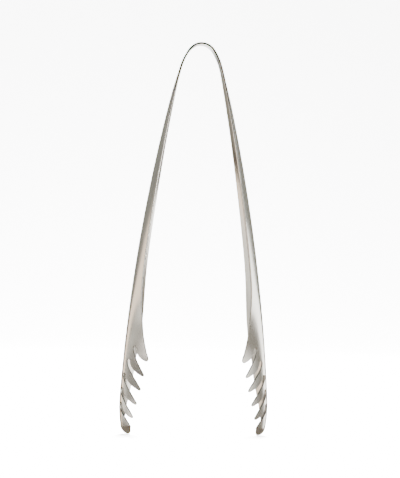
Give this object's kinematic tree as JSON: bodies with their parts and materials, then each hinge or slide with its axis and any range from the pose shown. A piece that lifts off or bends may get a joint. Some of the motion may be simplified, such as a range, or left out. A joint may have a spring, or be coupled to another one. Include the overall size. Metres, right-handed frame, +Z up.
{
  "type": "kitchen tongs",
  "caption": "Tall one-piece sprung kitchen tongs: flat bow spring, gutter-shaped handles and hooked claws along one side of each hollow head.",
  "frame": {"origin": "on the ground midway between the two tips, in the middle of the tool's width and depth", "axes": "+Z up from the tips to the bow, X from arm to arm, -Y towards the side that carries the claws"},
  "size_m": [0.11, 0.0183, 0.29],
  "materials": {
    "steel": "satin polished stainless sheet"
  },
  "bodies": {
    "bow": {"spring_bow": "steel"},
    "left_arm": {"left_leaf": "steel", "left_handle": "steel", "left_claw": "steel"},
    "right_arm": {"right_leaf": "steel", "right_handle": "steel", "right_claw": "steel"}
  },
  "joints": [
    {"name": "right_arm_flex", "type": "hinge", "parent": "bow", "child": "right_arm", "pos_m": [0.0099, 0, 0.28147], "axis": [0, 1, 0], "range_deg": [0, 8.4], "stiffness_Nm_per_rad": 12},
    {"name": "left_arm_flex", "type": "hinge", "parent": "bow", "child": "left_arm", "pos_m": [-0.0099, 0, 0.28147], "axis": [0, -1, 0], "range_deg": [0, 8.4], "stiffness_Nm_per_rad": 12}
  ],
  "couplings": [
    {"joint": "left_arm_flex", "follows": "right_arm_flex", "ratio": 1}
  ]
}
